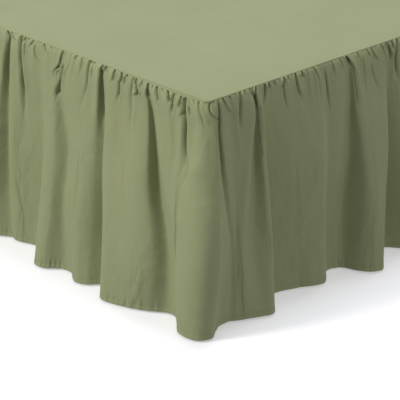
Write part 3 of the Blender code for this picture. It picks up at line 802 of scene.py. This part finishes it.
def stitchTree():
    # a short thread at every pitch along a line, turned to follow it
    tree = bpy.data.node_groups.new("stitchesAlongHem", "GeometryNodeTree")
    face = tree.interface
    face.new_socket("Line", in_out="INPUT", socket_type="NodeSocketGeometry")
    for label in ("Pitch", "Length", "Thread"):
        socket = face.new_socket(label, in_out="INPUT", socket_type="NodeSocketFloat")
        socket.default_value = stitch[label.lower()]
    face.new_socket("Finish", in_out="INPUT", socket_type="NodeSocketMaterial")
    face.new_socket("Stitches", in_out="OUTPUT", socket_type="NodeSocketGeometry")
    nodes, links = tree.nodes, tree.links
    given = nodes.new("NodeGroupInput")
    path = nodes.new("GeometryNodeMeshToCurve")
    links.new(given.outputs["Line"], path.inputs["Mesh"])
    spaced = nodes.new("GeometryNodeResampleCurve")
    spaced.mode = "LENGTH"
    links.new(path.outputs[0], spaced.inputs["Curve"])
    links.new(given.outputs["Pitch"], spaced.inputs["Length"])
    bead = nodes.new("GeometryNodeMeshIcoSphere")
    bead.inputs["Radius"].default_value = 0.5
    bead.inputs["Subdivisions"].default_value = 1
    size = nodes.new("ShaderNodeCombineXYZ")
    links.new(given.outputs["Length"], size.inputs[0])
    links.new(given.outputs["Thread"], size.inputs[1])
    links.new(given.outputs["Thread"], size.inputs[2])
    tangent = nodes.new("GeometryNodeInputTangent")
    turned = nodes.new("FunctionNodeAlignRotationToVector")
    turned.axis = "X"
    links.new(tangent.outputs[0], turned.inputs["Vector"])
    placed = nodes.new("GeometryNodeInstanceOnPoints")
    links.new(spaced.outputs[0], placed.inputs["Points"])
    links.new(bead.outputs[0], placed.inputs["Instance"])
    links.new(turned.outputs[0], placed.inputs["Rotation"])
    links.new(size.outputs[0], placed.inputs["Scale"])
    real = nodes.new("GeometryNodeRealizeInstances")
    links.new(placed.outputs[0], real.inputs[0])
    smooth = nodes.new("GeometryNodeSetShadeSmooth")
    links.new(real.outputs[0], smooth.inputs[0])
    finish = nodes.new("GeometryNodeSetMaterial")
    links.new(smooth.outputs[0], finish.inputs["Geometry"])
    links.new(given.outputs["Finish"], finish.inputs["Material"])
    out = nodes.new("NodeGroupOutput")
    links.new(finish.outputs[0], out.inputs[0])
    return tree


hemTree = stitchTree()


def hemStitches(name, line):
    mesh = bpy.data.meshes.new(name)
    mesh.from_pydata(line.tolist(), [(i, i + 1) for i in range(len(line) - 1)], [])
    made = bpy.data.objects.new(name, mesh)
    bpy.context.scene.collection.objects.link(made)
    maker = made.modifiers.new("stitches", "NODES")
    maker.node_group = hemTree
    for socket in hemTree.interface.items_tree:
        if socket.item_type == "SOCKET" and socket.name == "Finish":
            maker[socket.identifier] = threadCloth
    graph = bpy.context.evaluated_depsgraph_get()
    plain = bpy.data.meshes.new_from_object(made.evaluated_get(graph))
    made.modifiers.clear()
    made.data = plain
    bpy.data.meshes.remove(mesh)
    plain.name = name
    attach(made, "root")
    print(name, len(plain.polygons), "faces")


def placeOf(u):
    # the value of t at which the hem reaches a place along the edge
    hems = [turn.hem for turn in turns]
    i = max(k for k in range(len(hems)) if hems[k] <= u)
    i = min(i, len(hems) - 2)
    return i + (u - hems[i]) / (hems[i + 1] - hems[i])


leftEnd, rightEnd = placeOf(2 * midFoot - endOfSide), placeOf(endOfSide)
panels = [
    skirtPanel("gatheredPanelLeft", leftEnd, leftJoin, "skirt_left_side", 3),
    skirtPanel("gatheredPanelFoot", leftJoin, rightJoin, "skirt_foot", 4),
    skirtPanel("gatheredPanelRight", rightJoin, rightEnd, "skirt_right_side", 5),
]
print("skirt panels made")


deck = {
    "top": 0.3808,
    "thick": 0.0010,
    "fine": 0.0058,         # steps between points, where it is seen and elsewhere
    "coarse": 0.0120,
    "seenX": -0.02,
    "seenY": 0.56,
    "fall": 0.006,          # length of cloth below the bend, before it is stretched to the lip
    "lipAtHead": 0.009,
    "pull": 0.0004,         # how far the seam pulls the cloth up and down beside it
    "pulls": (0.011, 0.022, 0.045, 0.070),  # lengths along the seam and reaches in, near and wide
    "swell": 0.00025,
    "seed": 8,
}


def rimProfile():
    # (length along the cloth, radius, height) from the middle of a corner out over the edge
    bend = rim["bend"]
    edge = rim["corner"] + rim["out"]
    flat = edge - bend
    lengths = [flat - 0.0044, flat - 0.0024, flat - 0.0012]
    radii, heights = list(lengths), [deck["top"]] * 3
    for angle in np.radians(np.linspace(0, 90, 6)):
        lengths.append(flat + bend * angle)
        radii.append(flat + bend * math.sin(angle))
        heights.append(deck["top"] - bend * (1 - math.cos(angle)))
    for share in (0.35, 0.7, 1.0):
        lengths.append(flat + bend * math.pi / 2 + share * deck["fall"])
        radii.append(edge)
        heights.append(deck["top"] - bend - share * deck["fall"])
    return np.array(lengths), np.array(radii), np.array(heights)


def deckAxis(low, high, rimLengths, fineFrom, fineTo):
    # places along one side of the panel, over both of its turned-down edges
    places = [low]
    while places[-1] < high - deck["coarse"] * 1.5:
        fine = fineFrom <= places[-1] <= fineTo
        places.append(places[-1] + (deck["fine"] if fine else deck["coarse"]))
    return np.concatenate([low - rimLengths[::-1], places, [high], high + rimLengths])


def deckPanel():
    lengths, radii, heights = rimProfile()
    r = rim["corner"]
    halfX, lowY, highY = bed["width"] / 2 - r, footY + r, headY - r
    xs = deckAxis(-halfX, halfX, lengths, deck["seenX"], halfX)
    ys = deckAxis(lowY, highY, lengths, lowY, footY + deck["seenY"])
    x, y = np.meshgrid(xs, ys, indexing="ij")

    # past the corners' middles the square grid is wrapped round in rings
    dx = np.maximum(np.abs(x) - halfX, 0)
    dy = np.maximum(np.maximum(lowY - y, y - highY), 0)
    ring = np.maximum(dx, dy)
    steep = dy > dx
    wrap = np.pi / 4 / np.maximum(ring, 1e-9)
    angle = np.where(steep, np.pi / 2 - wrap * dx, wrap * dy)
    known = np.concatenate([[0.0], lengths])
    radius = np.interp(ring, known, np.concatenate([[0.0], radii]))
    height = np.interp(ring, known, np.concatenate([[deck["top"]], heights]))
    # how far down each stretch of the edge reaches
    onFoot = (dy >= dx) & (y < lowY)
    place = np.where(onFoot, np.minimum(np.abs(x) - bed["width"] / 2, 0), np.maximum(y - footY, 0))
    lip = np.where(y > highY, deck["lipAtHead"], lipAt(place))
    share = np.maximum(deck["top"] - rim["bend"] - height, 0) / deck["fall"]
    height -= share * (lip - rim["bend"] - deck["fall"])
    radius += share * lip * rim["flare"]
    newX = np.sign(x) * (np.minimum(np.abs(x), halfX) + radius * np.cos(angle))
    newY = np.clip(y, lowY, highY) + np.where(y > highY, 1, -1) * radius * np.sin(angle)

    rng = np.random.default_rng(deck["seed"])
    fromSide = bed["width"] / 2 - np.abs(newX)
    fromFoot = newY - footY
    inside = np.maximum(np.minimum(fromFoot, fromSide), 0)
    along = np.where(fromFoot < fromSide, newX, newY + 3.0)
    nearLength, nearReach, wideLength, wideReach = deck["pulls"]
    pull = smoothNoise(rng, along.reshape(-1), nearLength).reshape(x.shape)
    pull *= np.exp(-(inside / nearReach))
    wide = smoothNoise(rng, along.reshape(-1), wideLength).reshape(x.shape)
    wide *= np.exp(-(inside / wideReach))
    swell = np.sin(9 * newX + 3 * newY) * np.sin(5 * newY - 4 * newX + 1)
    swell *= np.clip(inside / 0.1, 0, 1)
    calm = np.clip((inside - 0.002) / 0.006, 0, 1)
    height += (deck["pull"] * pull + deck["pull"] * wide) * calm + deck["swell"] * swell
    height -= rim["groove"] * np.exp(-(((inside - 0.0030) / 0.0012) ** 2)) * (ring < lengths[3])

    points = np.stack([newX, newY, height], -1)
    metres = np.stack([x, y], -1)
    made = sheetObject("deckPanel", points, metres, deckCloth, deck["thick"], turnedOver=True)
    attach(made, "root")
    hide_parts("deck_panel")
    print("deck panel made", *x.shape)


deckPanel()


for nodeName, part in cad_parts.items():
    if nodeName.startswith("base_"):
        part.data.materials.clear()
        part.data.materials.append(ticking if nodeName == "base_box" else wood)
print("base finished")


paleFloor = {
    "halfSize": 14.0,
    "finish": {
        "Base Color": (0.93, 0.93, 0.93, 1),
        "Emission Color": (1, 1, 1, 1),
        "Emission Strength": 0.36,
        "Roughness": 0.9,
        "Specular IOR Level": 0.1,
    },
}


def addFloor():
    finish, _, _, shader = newMaterial("paleFloor")
    for label, value in paleFloor["finish"].items():
        shader.inputs[label].default_value = value
    size = paleFloor["halfSize"]
    corners = [(-size, -size, 0), (size, -size, 0), (size, size, 0), (-size, size, 0)]
    mesh = bpy.data.meshes.new("floor")
    mesh.from_pydata(corners, [], [(0, 1, 2, 3)])
    mesh.materials.append(finish)
    floor = bpy.data.objects.new("floor", mesh)
    bpy.context.scene.collection.objects.link(floor)
    floor.visible_diffuse = False    # the light under the folds is the studio's, not the floor's


# lights and camera are placed from the foot of the near corner
corner = Vector((bed["width"] / 2, footY, 0.0))
Lamp = namedtuple("Lamp", "name place aim size power colour")
studio = {
    "lamps": (
        Lamp("keyLight", (-1.6, -3.75, 2.6), (-0.1, 0.0, 0.2), 1.3, 128, (1, 1, 0.98)),
        Lamp("topLight", (-0.6, 0.9, 3.2), (-0.3, 0.4, 0.3), 1.6, 41, (0.98, 0.98, 1.06)),
        Lamp("fillLight", (3.3, 1.1, 0.9), (0.0, 0.1, 0.2), 1.8, 18, (1, 1, 0.93)),
    ),
    "worldColour": (0.97, 0.97, 1.10, 1),
    "worldStrength": 0.30,
}


def softLight(lamp):
    made = bpy.data.lights.new(lamp.name, "AREA")
    made.shape = "DISK"
    made.size = lamp.size
    made.energy = lamp.power
    made.color = lamp.colour
    held = bpy.data.objects.new(lamp.name, made)
    bpy.context.scene.collection.objects.link(held)
    place, aim = corner + Vector(lamp.place), corner + Vector(lamp.aim)
    held.location = place
    held.rotation_euler = (aim - place).to_track_quat("-Z", "Y").to_euler()


addFloor()
for lamp in studio["lamps"]:
    softLight(lamp)

world = bpy.data.worlds.new("studioWorld")
bpy.context.scene.world = world
world.use_nodes = True
sky = world.node_tree.nodes["Background"]
sky.inputs["Color"].default_value = studio["worldColour"]
sky.inputs["Strength"].default_value = studio["worldStrength"]

camera = {
    "focal": 2100.0,        # in pixels of a frame 400 wide
    "frame": 400.0,
    "azimuth": 45.94,
    "tilt": 23.12,
    "distance": 3.314,
    "aimHeight": 0.19,
    "aimPixel": (208.2, 214.5),
    "sensor": 36.0,
}


def addCamera():
    a, p = math.radians(camera["azimuth"]), math.radians(camera["tilt"])
    back = Vector((math.sin(a) * math.cos(p), -math.cos(a) * math.cos(p), math.sin(p)))
    right = Vector((math.cos(a), math.sin(a), 0))
    up = back.cross(right)
    scale = camera["distance"] / camera["focal"]
    aim = corner + Vector((0, 0, camera["aimHeight"]))
    sideways, downwards = (pixel - camera["frame"] / 2 for pixel in camera["aimPixel"])
    place = aim + back * camera["distance"] - right * (sideways * scale) + up * (downwards * scale)
    lens = bpy.data.cameras.new("camera")
    lens.sensor_width = camera["sensor"]
    lens.lens = camera["sensor"] * camera["focal"] / camera["frame"]
    made = bpy.data.objects.new("camera", lens)
    bpy.context.scene.collection.objects.link(made)
    made.matrix_world = Matrix.Translation(place) @ Matrix((right, up, back)).transposed().to_4x4()
    bpy.context.scene.camera = made


addCamera()
bpy.context.scene.view_settings.view_transform = "Standard"
print("floor, lights and camera set")
